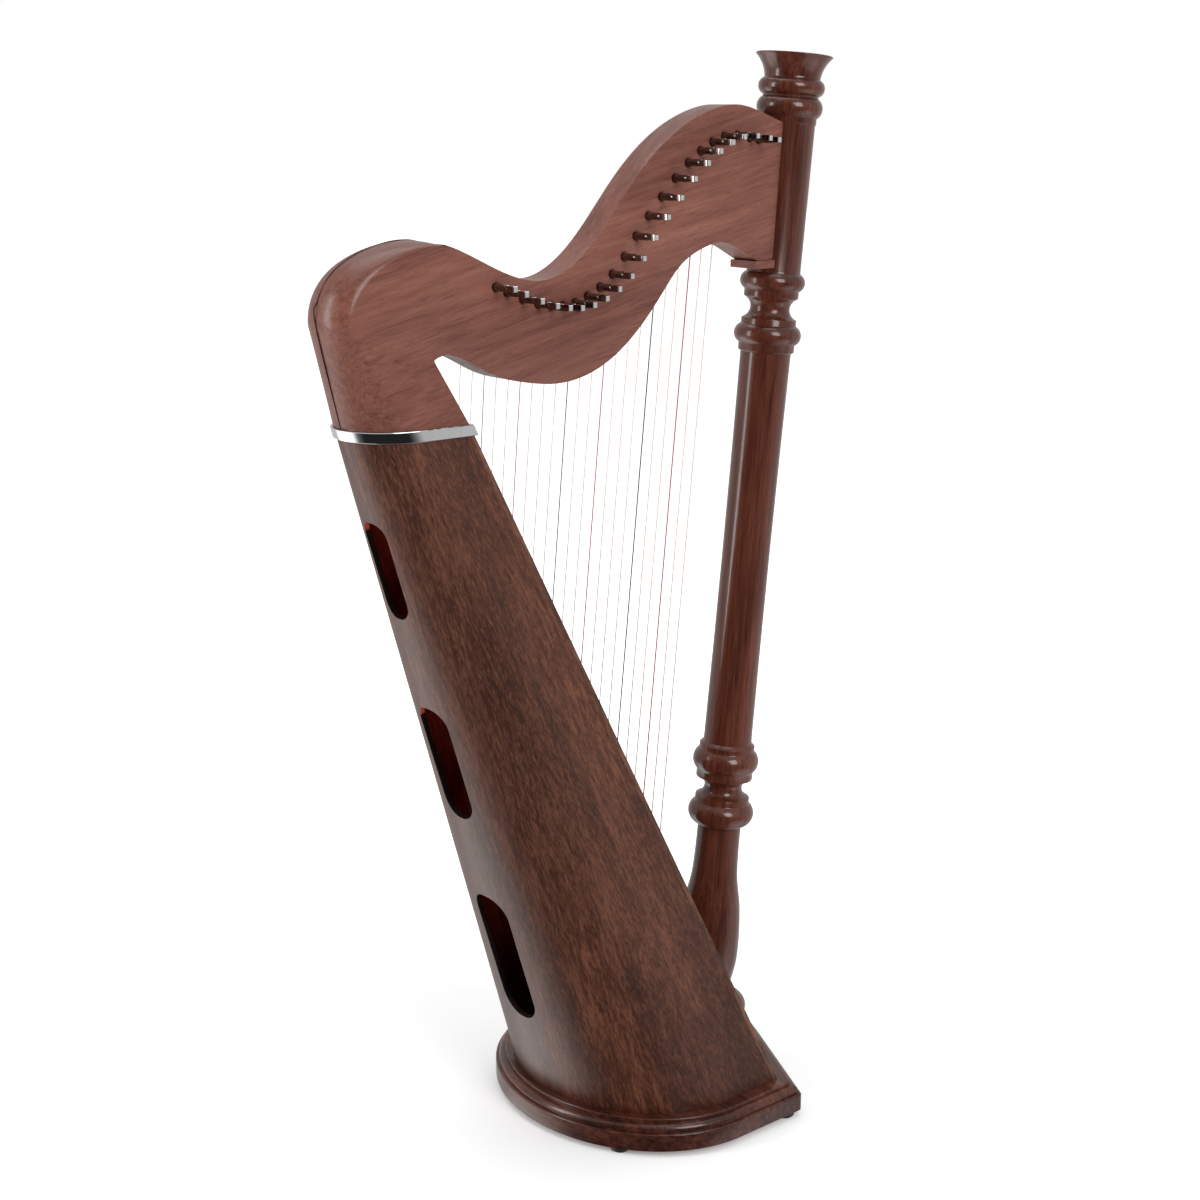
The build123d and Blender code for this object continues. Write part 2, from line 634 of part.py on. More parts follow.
def string_eyelets():
    """A flanged brass eyelet for each string, in the outer rib and the soundboard."""
    length = 7.0
    eyelets = []
    for index in range(STRINGS):
        plane = Plane(origin=eyelet_seat(index), z_dir=board_normal())
        flange = extrude(Circle(EYELET_FLANGE) - Circle(EYELET_BORE), EYELET_FLANGE_THICK)
        tube = Pos(0, 0, -length) * extrude(Circle(EYELET_RADIUS) - Circle(EYELET_BORE), length)
        eyelets.append(plane * solid_of(flange + tube))
    return Compound(eyelets)


def string_route(index):
    """The route of one string: knot, eyelet, bridge pin, and the tangent point on its tuning pin."""
    radius = string_radius(index)
    corner = string_corner(index)
    inner_face = OUTER_RIB_THICK + BOARD_THICK + INNER_RIB_THICK
    depth = inner_face * board_normal().X + EYELET_FLANGE_THICK + STRING_BEND * 0.66 + KNOT_RADIUS + 0.1
    knot = corner - board_normal() * depth
    pin_x, pin_z = pin_places()[index]
    bridge_z = pin_z - BRIDGE_DROP
    bend = Vector(string_x(index, bridge_z), STRING_OFF_NECK, bridge_z)
    end = Vector(pin_x - PIN_RADIUS - WIND_GAP - radius, STRING_OFF_NECK, pin_z)
    return knot, corner, bend, end


def string(index):
    """One string in one piece with its knot and its turns round the tuning pin."""
    radius = string_radius(index)
    knot, corner, bend, end = string_route(index)
    path = FilletPolyline(knot, corner, bend, end, radius=[STRING_BEND, BRIDGE_RADIUS + BRIDGE_GAP + radius])
    body = sweep(Plane(origin=knot, z_dir=corner - knot) * Circle(radius), path)
    body += Pos(*knot) * Sphere(KNOT_RADIUS)
    pin_x, pin_z = pin_places()[index]
    width = 2 * radius
    inner = PIN_RADIUS + WIND_GAP
    start = STRING_OFF_NECK + radius
    points = [(inner, start), (inner + radius, start)]
    for turn in range(WIND_TURNS):
        crest = start - turn * width - radius
        points += [(inner + width, crest + 0.4 * radius), (inner + width, crest - 0.4 * radius)]
        points.append((inner + radius, crest - radius))
    points.append((inner, start - WIND_TURNS * width))
    sleeve = revolve(Plane.XY * make_face(Polyline(*points, close=True)), Axis.Y)
    body += Pos(pin_x, 0, pin_z) * sleeve
    return solid_of(body)


def strings(wanted):
    """A group of separate strings."""
    return Compound([string(index) for index in wanted])


def bridge_pins():
    """The fixed pins on the string side of the neck, each with a small round head."""
    pins = []
    for place in bridge_places():
        shank = along_y(place, -BRIDGE_DEPTH + 0.5, BRIDGE_OUT, BRIDGE_RADIUS)
        head = along_y(place, BRIDGE_OUT, BRIDGE_OUT + 1.6, BRIDGE_RADIUS + 0.6)
        head = fillet(head.faces().sort_by(Axis.Y)[-1].edges(), 0.6)
        pins.append(solid_of(shank + head))
    return Compound(pins)


def tuning_pin(place):
    """A tuning pin: round through the neck, square at the right end, round at the string end."""
    right = NECK_FACE_Y - PIN_RIGHT
    square_start = right + PIN_SQUARE_LENGTH
    shoulder = square_start + PIN_TAPER
    corner = PIN_SQUARE / 2
    profile = Polyline(
        (0, right), (corner * 1.3, right), (corner * 1.3, square_start), (PIN_RADIUS, shoulder),
        (PIN_RADIUS, PIN_LEFT - 1), (PIN_RADIUS - 1, PIN_LEFT), (0, PIN_LEFT), close=True,
    )
    pin = revolve(Plane.XY * make_face(profile), Axis.Y)
    slab = Pos(0, (right + square_start) / 2 - 1, 0) * Box(20, PIN_SQUARE_LENGTH + 2, 20)
    core = Pos(0, (right + square_start) / 2, 0) * Box(PIN_SQUARE, PIN_SQUARE_LENGTH + 8, PIN_SQUARE)
    pin = pin - (slab - core)
    pin -= Pos(0, PIN_LEFT - 3.2, 0) * extrude(Circle(0.8), 10, both=True)
    return Pos(place[0], 0, place[1]) * solid_of(pin)


# ---------------------------------------------------------------- the harp
def build():
    """Every node of the harp, in its working frame."""
    clear = [i for i in range(STRINGS) if i not in RED_STRINGS + BLACK_STRINGS]
    nodes = {
        "base_plinth": base_plinth(),
        "rubber_feet": rubber_feet(),
        "foot_screws": foot_screws(),
        "soundbox_back": soundbox_back(),
        "soundboard": soundboard(),
        "outer_string_rib": outer_string_rib(),
        "inner_string_rib": inner_string_rib(),
        "side_lining_left": side_lining(1),
        "side_lining_right": side_lining(-1),
        "top_block": top_block(),
        "shoulder_dowels": Compound(dowel_bars()),
        "chrome_band": chrome_band(),
        "neck": neck(),
        "shoulder_left": shoulder_left(),
        "neck_plate": neck_plate(),
        "neck_dowels": Compound(neck_dowel_bars()),
        "pillar": pillar(),
        "pillar_foot": pillar_foot(),
        "pillar_bolt": pillar_bolt(),
        "bolt_washer": bolt_washer(),
        "string_eyelets": string_eyelets(),
        "bridge_pins": bridge_pins(),
        "strings_red": strings(RED_STRINGS),
        "strings_black": strings(BLACK_STRINGS),
        "strings_clear": strings(clear),
    }
    for number, place in enumerate(pin_places(), start=1):
        nodes[f"tuning_pin_{number:02d}"] = tuning_pin(place)
    return nodes


os.makedirs("parts", exist_ok=True)
harp = build()
whole = Compound([shape for shape in harp.values()]).bounding_box()
to_origin = Pos(-(whole.min.X + whole.max.X) / 2, -(whole.min.Y + whole.max.Y) / 2, -whole.min.Z)
for name, shape in harp.items():
    export_step(to_origin * shape, f"parts/{name}.step")
print("moved by", to_origin.position, "size", whole.size)
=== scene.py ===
"""A small folk harp: soundbox on a moulded plinth, flat neck, turned pillar, strings and tuning pins.

Everything is in metres in the frame's own axes: +X from the shoulder to the pillar, +Y to the string
side of the neck and +Z up, with the floor at zero.
"""
import json
import logging
import math
from dataclasses import dataclass, field
from enum import Enum
from functools import cache

import bmesh
import bpy
from mathutils import Euler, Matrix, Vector


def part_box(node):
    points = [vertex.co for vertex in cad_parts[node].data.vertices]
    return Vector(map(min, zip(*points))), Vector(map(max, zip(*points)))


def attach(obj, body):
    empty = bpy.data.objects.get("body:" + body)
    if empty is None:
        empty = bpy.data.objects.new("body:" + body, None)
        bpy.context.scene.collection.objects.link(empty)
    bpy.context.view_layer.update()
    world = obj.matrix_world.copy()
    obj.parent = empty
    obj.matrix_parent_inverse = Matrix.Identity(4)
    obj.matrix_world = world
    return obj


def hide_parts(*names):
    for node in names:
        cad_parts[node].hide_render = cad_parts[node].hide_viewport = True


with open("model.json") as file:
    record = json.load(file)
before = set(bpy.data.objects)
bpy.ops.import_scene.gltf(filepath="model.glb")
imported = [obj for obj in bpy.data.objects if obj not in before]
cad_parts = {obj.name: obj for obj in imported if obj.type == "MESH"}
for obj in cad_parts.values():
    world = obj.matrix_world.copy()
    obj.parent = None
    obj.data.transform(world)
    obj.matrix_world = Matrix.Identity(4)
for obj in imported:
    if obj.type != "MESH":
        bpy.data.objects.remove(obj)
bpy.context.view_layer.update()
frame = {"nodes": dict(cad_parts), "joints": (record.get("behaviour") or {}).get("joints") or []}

log = logging.getLogger("harp")
logging.basicConfig(level=logging.INFO, format="%(message)s")

MM = 0.001
Colour = tuple[float, float, float]
Point = tuple[float, float, float]
Pair = tuple[float, float]


# ------------------------------------------------------------------ shader tools
class Signal:
    """A shader socket that takes part in arithmetic: each operator adds its Math node."""

    def __init__(self, paint: "Paint", socket: bpy.types.NodeSocket) -> None:
        """Keeps the socket and the paint it belongs to.

        Args:
            paint: The material being built.
            socket: The output socket that carries the value.
        """
        self.paint = paint
        self.socket = socket

    def _math(self, operation: str, first: object, second: object = 0.0) -> "Signal":
        """One Math node.

        Args:
            operation: The Math node's operation.
            first: A number or a signal.
            second: A number or a signal.

        Returns:
            The node's result.
        """
        return self.paint.node("ShaderNodeMath", {"operation": operation}, {0: first, 1: second})

    def __add__(self, other: object) -> "Signal":
        """self + other."""
        return self._math("ADD", self, other)

    __radd__ = __add__

    def __sub__(self, other: object) -> "Signal":
        """self - other."""
        return self._math("SUBTRACT", self, other)

    def __rsub__(self, other: object) -> "Signal":
        """other - self."""
        return self._math("SUBTRACT", other, self)

    def __mul__(self, other: object) -> "Signal":
        """self * other."""
        return self._math("MULTIPLY", self, other)

    __rmul__ = __mul__

    def step(self, low: float, high: float) -> "Signal":
        """A smooth rise from 0 to 1 as the value goes from low to high."""
        ranges = {"From Min": low, "From Max": high, "Value": self}
        return self.paint.node("ShaderNodeMapRange", {"interpolation_type": "SMOOTHSTEP"}, ranges)


class Paint:
    """A material under construction."""

    def __init__(self, name: str) -> None:
        """Starts an empty node tree.

        Args:
            name: The material's name.
        """
        self.material = bpy.data.materials.new(name)
        self.material.use_nodes = True
        self.tree = self.material.node_tree
        self.tree.nodes.clear()

    def node(
        self, kind: str, settings: dict | None = None, inputs: dict | None = None, output: int | str = 0
    ) -> Signal:
        """Adds any node.

        Args:
            kind: The node's type.
            settings: Its properties; "stops" holds a ramp's stops as position and colour.
            inputs: Numbers, tuples or signals by socket name or number.
            output: The output wanted.

        Returns:
            The output as a signal.
        """
        made = self.tree.nodes.new(kind)
        for key, value in (settings or {}).items():
            if key == "stops":
                ramp = made.color_ramp
                while len(ramp.elements) < len(value):
                    ramp.elements.new(0.5)
                for element, (place, colour) in zip(ramp.elements, value):
                    element.position = place
                    element.color = (*colour, 1.0)
            else:
                setattr(made, key, value)
        for key, value in (inputs or {}).items():
            if isinstance(value, Signal):
                self.tree.links.new(value.socket, made.inputs[key])
            else:
                made.inputs[key].default_value = value
        return Signal(self, made.outputs[output])

    def place(self, turn: Point = (0.0, 0.0, 0.0)) -> Signal:
        """Object coordinates, turned so that the pattern's Z lies along the grain."""
        here = self.node("ShaderNodeTexCoord", output="Object")
        return self.node("ShaderNodeMapping", None, {"Vector": here, "Rotation": turn})

    def stretch(self, where: Signal, scale: Point) -> Signal:
        """Coordinates multiplied axis by axis."""
        return self.node("ShaderNodeVectorMath", {"operation": "MULTIPLY"}, {0: where, 1: scale})

    def noise(self, where: Signal, scale: Point, detail: float = 2.0, bend: float = 0.0) -> Signal:
        """Noise with its own scale on each axis.

        Args:
            where: Coordinates.
            scale: Features per metre on each axis.
            detail: Octaves.
            bend: Distortion.

        Returns:
            Values round 0.5.
        """
        sizes = {"Vector": self.stretch(where, scale), "Scale": 1.0, "Detail": detail, "Distortion": bend}
        return self.node("ShaderNodeTexNoise", None, sizes)

    def ramp(self, value: Signal, stops: list[tuple[float, Colour]]) -> Signal:
        """A colour ramp."""
        return self.node("ShaderNodeValToRGB", {"stops": stops}, {0: value})

    def mix(self, share: object, first: object, second: object, blend: str = "MIX") -> Signal:
        """Mixes two colours.

        Args:
            share: How much of the second colour.
            first: A colour or a signal.
            second: A colour or a signal.
            blend: The blend type.

        Returns:
            The mixed colour.
        """
        full = [c if isinstance(c, Signal) else (*c, 1.0) for c in (first, second)]
        settings = {"data_type": "RGBA", "blend_type": blend}
        return self.node("ShaderNodeMix", settings, {0: share, 6: full[0], 7: full[1]}, 2)

    def bump(self, height: Signal, depth: float, strength: float = 1.0) -> Signal:
        """A Bump node: the height runs from 0 to 1 over a depth in metres."""
        return self.node("ShaderNodeBump", None, {"Height": height, "Distance": depth, "Strength": strength})

    def finish(self, **sockets: object) -> bpy.types.Material:
        """Adds the shader and the output.

        Args:
            **sockets: The Principled shader's inputs, with _ for a space.

        Returns:
            The finished material.
        """
        inputs = {}
        for key, value in sockets.items():
            is_colour = isinstance(value, tuple) and len(value) == 3
            inputs[key.replace("_", " ")] = (*value, 1.0) if is_colour else value
        shader = self.node("ShaderNodeBsdfPrincipled", None, inputs)
        output = self.tree.nodes.new("ShaderNodeOutputMaterial")
        self.tree.links.new(shader.socket, output.inputs["Surface"])
        return self.material


# ------------------------------------------------------------------ finishes
@dataclass(frozen=True)
class Wood:
    """Stained and lacquered wood with rings, fibres, pores and a slow drift of tone."""

    name: str
    dark: Colour
    middle: Colour
    light: Colour
    grain: Point
    rings: float = 34.0
    ring_length: float = 2.6
    fibre: float = 620.0
    fibre_length: float = 15.0
    contrast: float = 1.0
    pores: float = 0.5
    flecks: float = 0.2
    drift: float = 0.5
    roughness: float = 0.34
    coat: float = 0.5
    coat_roughness: float = 0.12
    seed: float = 0.0

    def material(self) -> bpy.types.Material:
        """Builds the node tree.

        Returns:
            The material.
        """
        paint = Paint(f"{self.name}_finish")
        turned = paint.place(self.grain)
        shift = (self.seed, self.seed, 0)
        where = paint.node("ShaderNodeMapping", None, {"Vector": turned, "Location": shift})
        fine, length = self.fibre, self.fibre_length
        rings = paint.noise(where, (self.rings, self.rings, self.ring_length), 3.0, 0.7)
        fibres = paint.noise(where, (fine, fine, length), 2.0)
        streaks = paint.noise(where, (fine * 0.3, fine * 0.3, length * 0.35), 3.0, 0.3)
        broad = paint.noise(where, (9.0, 9.0, 1.6), 2.0, 0.4)
        dashes = paint.noise(where, (fine * 1.3, fine * 1.3, length * 3.0), 1.0).step(0.60, 0.70)
        flecks = paint.noise(where, (fine, fine, length * 1.5), 1.0).step(0.57, 0.68)
        tone = (rings * 0.9 + fibres * 0.8 + streaks * 0.9 - 1.3) * self.contrast + 0.5
        stops = [(0.28, self.dark), (0.50, self.middle), (0.78, self.light)]
        colour = paint.ramp(tone, stops)
        shade = broad.step(0.30, 0.68)
        deep = tuple(0.62 * c for c in self.dark)
        colour = paint.mix((1 - shade) * self.drift, colour, deep)
        colour = paint.mix(flecks * self.flecks, colour, self.light)
        colour = paint.mix(dashes * self.pores, colour, deep)
        rough = self.roughness + (fibres - 0.5) * 0.16 + dashes * 0.1
        relief = fibres * 0.6 + (1 - dashes) * 0.4
        normal = paint.bump(relief, 0.00012, 0.5)
        return paint.finish(
            Base_Color=colour, Roughness=rough, Normal=normal, Coat_Weight=self.coat,
            Coat_Roughness=self.coat_roughness, Specular_IOR_Level=0.25,
        )


@dataclass(frozen=True)
class Plated:
    """Polished or brushed metal with faint hairlines and handling marks."""

    name: str
    colour: Colour
    roughness: float
    hairline: Point = (40.0, 40.0, 2600.0)
    marks: float = 0.08

    def material(self) -> bpy.types.Material:
        """Builds the node tree.

        Returns:
            The material.
        """
        paint = Paint(f"{self.name}_finish")
        where = paint.place()
        lines = paint.noise(where, self.hairline, 2.0)
        smears = paint.noise(where, (90.0, 90.0, 90.0), 3.0, 0.5).step(0.45, 0.75)
        dull = tuple(0.86 * c for c in self.colour)
        colour = paint.mix(smears * 0.35, self.colour, dull)
        rough = self.roughness + (lines - 0.5) * 0.5 * self.roughness + smears * self.marks
        normal = paint.bump(lines, 0.00002, 0.25)
        return paint.finish(Base_Color=colour, Roughness=rough, Metallic=1.0, Normal=normal)


@dataclass(frozen=True)
class Moulded:
    """Rubber or nylon: a slightly uneven tone and a fine surface."""

    name: str
    colour: Colour
    roughness: float
    grain: float = 900.0

    def material(self) -> bpy.types.Material:
        """Builds the node tree.

        Returns:
            The material.
        """
        paint = Paint(f"{self.name}_finish")
        where = paint.place()
        fine = paint.noise(where, (self.grain,) * 3, 2.0)
        cloud = paint.noise(where, (60.0, 60.0, 60.0), 2.0)
        paler = tuple(min(1.0, 1.25 * c + 0.01) for c in self.colour)
        colour = paint.mix(cloud.step(0.3, 0.8) * 0.5, self.colour, paler)
        rough = self.roughness + (fine - 0.5) * 0.2
        normal = paint.bump(fine, 0.00004, 0.35)
        return paint.finish(Base_Color=colour, Roughness=rough, Normal=normal)


SHELL_GRAIN = (0.0, math.radians(22.4), 0.0)
NECK_GRAIN = (0.0, math.radians(-77.0), 0.0)
PILLAR_GRAIN = (0.0, math.radians(-5.1), 0.0)
BASE_GRAIN = (math.radians(90.0), 0.0, math.radians(12.0))


class Finish(Enum):
    """Every finish on the harp, by the material slot it belongs to."""

    SHELL = ("shell_veneer", Wood(
        "shell_veneer", (0.036, 0.0090, 0.0035), (0.070, 0.0185, 0.0075), (0.150, 0.050, 0.024), SHELL_GRAIN,
        rings=26, ring_length=1.6, fibre=1150, fibre_length=22, contrast=1.0, drift=0.6, pores=0.7,
        flecks=0.55, roughness=0.42, coat=0.3, coat_roughness=0.3,
    ))
    BOARD = ("soundboard_wood", Wood(
        "soundboard_wood", (0.05, 0.018, 0.011), (0.10, 0.038, 0.022), (0.19, 0.085, 0.05), SHELL_GRAIN,
        fibre=700, fibre_length=14, drift=0.3, pores=0.3, roughness=0.38, coat=0.3, coat_roughness=0.2,
        seed=3,
    ))
    RIB = ("rib_wood", Wood(
        "rib_wood", (0.05, 0.014, 0.009), (0.11, 0.035, 0.022), (0.20, 0.08, 0.05), SHELL_GRAIN,
        drift=0.3, seed=5,
    ))
    NECK = ("neck_wood", Wood(
        "neck_wood", (0.095, 0.028, 0.018), (0.158, 0.053, 0.036), (0.225, 0.086, 0.060), NECK_GRAIN,
        rings=24, ring_length=3.0, fibre=700, fibre_length=34, contrast=0.62, drift=0.25, pores=0.35,
        flecks=0.08, roughness=0.38, coat=0.3, coat_roughness=0.22, seed=7,
    ))
    PILLAR = ("pillar_wood", Wood(
        "pillar_wood", (0.042, 0.008, 0.0036), (0.092, 0.021, 0.010), (0.150, 0.042, 0.024), PILLAR_GRAIN,
        fibre=700, fibre_length=26, contrast=0.7, drift=0.4, pores=0.35, flecks=0.08, roughness=0.3,
        coat=0.6, coat_roughness=0.12, seed=11,
    ))
    PLINTH = ("plinth_wood", Wood(
        "plinth_wood", (0.026, 0.006, 0.003), (0.082, 0.021, 0.011), (0.155, 0.048, 0.028), BASE_GRAIN,
        rings=24, ring_length=8, fibre=600, fibre_length=24, contrast=0.9, drift=0.6, pores=0.4, flecks=0.08,
        roughness=0.32, coat=0.5, coat_roughness=0.14, seed=13,
    ))
    INSIDE = ("shell_inside", Wood(
        "shell_inside", (0.34, 0.030, 0.016), (0.48, 0.050, 0.028), (0.60, 0.10, 0.05), SHELL_GRAIN,
        drift=0.3, pores=0.3, roughness=0.5, coat=0.1, seed=17,
    ))
    EDGE = ("shell_edge", Wood(
        "shell_edge", (0.006, 0.003, 0.002), (0.012, 0.005, 0.004), (0.025, 0.010, 0.007), SHELL_GRAIN,
        drift=0.3, pores=0.3, roughness=0.5, coat=0.1, seed=19,
    ))
    DOWEL = ("dowel_wood", Wood(
        "dowel_wood", (0.30, 0.17, 0.08), (0.42, 0.26, 0.14), (0.55, 0.38, 0.22), (0.0, 0.0, 0.0), coat=0.0,
    ))
    CHROME = ("chrome", Plated("chrome", (0.86, 0.86, 0.87), 0.05, (20.0, 20.0, 1800.0), 0.04))
    PIN = ("pin_steel", Plated("pin_steel", (0.86, 0.85, 0.84), 0.12, (40.0, 2400.0, 40.0), 0.08))
    # the same steel made darker and browner for the pins' sideways faces: painted reflection of the dark
    # surround and the wood
    PIN_PAINTED_REFLECTION = ("pin_painted_reflection", Plated("pin_painted_reflection", (0.20, 0.165, 0.15), 0.16, (40.0, 2400.0, 40.0), 0.1))
    BRIDGE = ("bridge_steel", Plated("bridge_steel", (0.62, 0.61, 0.60), 0.22, (40.0, 2400.0, 40.0), 0.1))
    BRASS = ("brass", Plated("brass", (0.80, 0.58, 0.27), 0.2))
    BOLT = ("bolt_steel", Plated("bolt_steel", (0.45, 0.45, 0.46), 0.3))
    RUBBER = ("foot_rubber", Moulded("foot_rubber", (0.012, 0.012, 0.013), 0.62))
    RED_STRING = ("string_red", Moulded("string_red", (0.34, 0.06, 0.055), 0.3))
    BLACK_STRING = ("string_black", Moulded("string_black", (0.02, 0.02, 0.028), 0.3))
    CLEAR_STRING = ("string_clear", Moulded("string_clear", (0.62, 0.52, 0.47), 0.28))

    @property
    def slot(self) -> str:
        """The record's material slot."""
        return self.value[0]

    @cache
    def material(self) -> bpy.types.Material:
        """The material, built once."""
        return self.value[1].material()


# ------------------------------------------------------------------ geometry nodes tools
class NodeSketch:
    """A Geometry Nodes tree under construction."""

    def __init__(self, name: str, sizes: dict[str, tuple[str, object]]) -> None:
        """Starts the tree with its named inputs.

        Args:
            name: The tree's name.
            sizes: Each input's name, with its socket type and value.
        """
        self.tree = bpy.data.node_groups.new(name, "GeometryNodeTree")
        self.values: dict[str, object] = {}
        face = self.tree.interface
        face.new_socket("Geometry", in_out="INPUT", socket_type="NodeSocketGeometry")
        face.new_socket("Geometry", in_out="OUTPUT", socket_type="NodeSocketGeometry")
        for key, (kind, value) in sizes.items():
            self.values[face.new_socket(key, in_out="INPUT", socket_type=kind).identifier] = value
        self.entry = self.tree.nodes.new("NodeGroupInput")
        self.exit = self.tree.nodes.new("NodeGroupOutput")

    def given(self, name: str) -> bpy.types.NodeSocket:
        """One of the tree's own inputs."""
        return self.entry.outputs[name]

    def add(
        self, kind: str, inputs: dict | None = None, settings: dict | None = None, output: int | str = 0
    ) -> bpy.types.NodeSocket:
        """Adds a node.

        Args:
            kind: The node's type.
            inputs: Values or sockets by name or number.
            settings: Properties, set first.
            output: The output wanted.

        Returns:
            The output socket.
        """
        made = self.tree.nodes.new(kind)
        for key, value in (settings or {}).items():
            setattr(made, key, value)
        for key, value in (inputs or {}).items():
            if isinstance(value, bpy.types.NodeSocket):
                self.tree.links.new(value, made.inputs[key])
            else:
                made.inputs[key].default_value = value
        return made.outputs[output]

    def close(self, geometry: bpy.types.NodeSocket, material: bpy.types.Material) -> None:
        """Ends the tree in Realize Instances and Set Material."""
        real = self.add("GeometryNodeRealizeInstances", {"Geometry": geometry})
        dressed = self.add("GeometryNodeSetMaterial", {"Geometry": real, "Material": material})
        self.tree.links.new(dressed, self.exit.inputs[0])

    def grow(self, name: str, seedling: bpy.types.Mesh) -> bpy.types.Object:
        """Runs the tree on a mesh and keeps the result as a plain mesh.

        Args:
            name: The finished object's name.
            seedling: The mesh the tree starts from.

        Returns:
            The finished object, at the origin.
        """
        carrier = bpy.data.objects.new(name, seedling)
        bpy.context.scene.collection.objects.link(carrier)
        modifier = carrier.modifiers.new("grow", "NODES")
        modifier.node_group = self.tree
        for identifier, value in self.values.items():
            modifier[identifier] = value
        bpy.context.view_layer.update()
        graph = bpy.context.evaluated_depsgraph_get()
        mesh = bpy.data.meshes.new_from_object(carrier.evaluated_get(graph), depsgraph=graph)
        carrier.modifiers.remove(modifier)
        carrier.data = mesh
        mesh.name = name
        return carrier


def path_mesh(paths: list[list[Vector]], widths: list[list[float]]) -> bpy.types.Mesh:
    """Open paths as a mesh of edges with a width at each point.

    Args:
        paths: The points of each path.
        widths: A radius for each point.

    Returns:
        The mesh, with the attribute "width".
    """
    points, edges = [], []
    for path in paths:
        edges += [(len(points) + i, len(points) + i + 1) for i in range(len(path) - 1)]
        points += [tuple(p) for p in path]
    mesh = bpy.data.meshes.new("paths")
    mesh.from_pydata(points, edges, [])
    attribute = mesh.attributes.new("width", "FLOAT", "POINT")
    attribute.data.foreach_set("value", [w for row in widths for w in row])
    return mesh


def tube_tree(name: str, sides: int, material: bpy.types.Material, turn: float = 0.0) -> NodeSketch:
    """A tree that turns paths into closed round bars whose radius follows the attribute "width".

    Args:
        name: The tree's name.
        sides: Faces round the bar.
        material: The finish.
        turn: Rotation of the cross section in radians.

    Returns:
        The tree.
    """
    sketch = NodeSketch(name, {"Sides": ("NodeSocketInt", sides), "Turn": ("NodeSocketFloat", turn)})
    width = sketch.add("GeometryNodeInputNamedAttribute", {"Name": "width"}, {"data_type": "FLOAT"})
    curve = sketch.add("GeometryNodeMeshToCurve", {"Mesh": sketch.given("Geometry")})
    ring = sketch.add(
        "GeometryNodeCurvePrimitiveCircle", {"Resolution": sketch.given("Sides"), "Radius": 1.0}
    )
    angle = sketch.add("ShaderNodeCombineXYZ", {"Z": sketch.given("Turn")})
    ring = sketch.add("GeometryNodeTransform", {"Geometry": ring, "Rotation": angle})
    bar = sketch.add(
        "GeometryNodeCurveToMesh", {"Curve": curve, "Profile Curve": ring, "Scale": width, "Fill Caps": True}
    )
    sketch.close(bar, material)
    return sketch


def smooth(mesh: bpy.types.Mesh, angle: float = 32.0) -> None:
    """Shades a mesh smooth, with edges sharper than the angle kept sharp."""
    mesh.polygons.foreach_set("use_smooth", [True] * len(mesh.polygons))
    mesh.set_sharp_from_angle(angle=math.radians(angle))


def mend_normals(mesh: bpy.types.Mesh) -> None:
    """Merges doubles and turns every face outwards."""
    work = bmesh.new()
    work.from_mesh(mesh)
    bmesh.ops.remove_doubles(work, verts=work.verts, dist=1e-7)
    bmesh.ops.recalc_face_normals(work, faces=work.faces)
    work.to_mesh(mesh)
    work.free()


def settle(piece: bpy.types.Object, body: str, finish: Finish, *nodes: str) -> None:
    """Puts a finished piece on its body, gives it its finish's material if it has none and hides the CAD
    nodes it stands for.

    Args:
        piece: The finished piece.
        body: The body it rides on.
        finish: Its finish.
        *nodes: The CAD nodes it replaces.
    """
    if not piece.data.materials:
        piece.data.materials.append(finish.material())
    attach(piece, body)
    finish.slot
    if nodes:
        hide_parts(*nodes)
    log.info("%s: %d faces on %s", piece.name, len(piece.data.polygons), body)


# ------------------------------------------------------------------ pieces
# the soundboard's front corner in the CAD's working X
BOARD_FOOT = 8.0
# faces that turn less than this towards Y are the sides of a pin, which get the darker steel of painted
# reflection
SIDE_FACING = 0.2
# edges of joinery sharper than this are eased, in degrees
EASED_ANGLE = 38.0
# where the slanted facet under the neck starts, as X and Z of both ends in millimetres
SHOULDER_CREASES = ((-176.1, 724.5, -249.9, 751.6),)


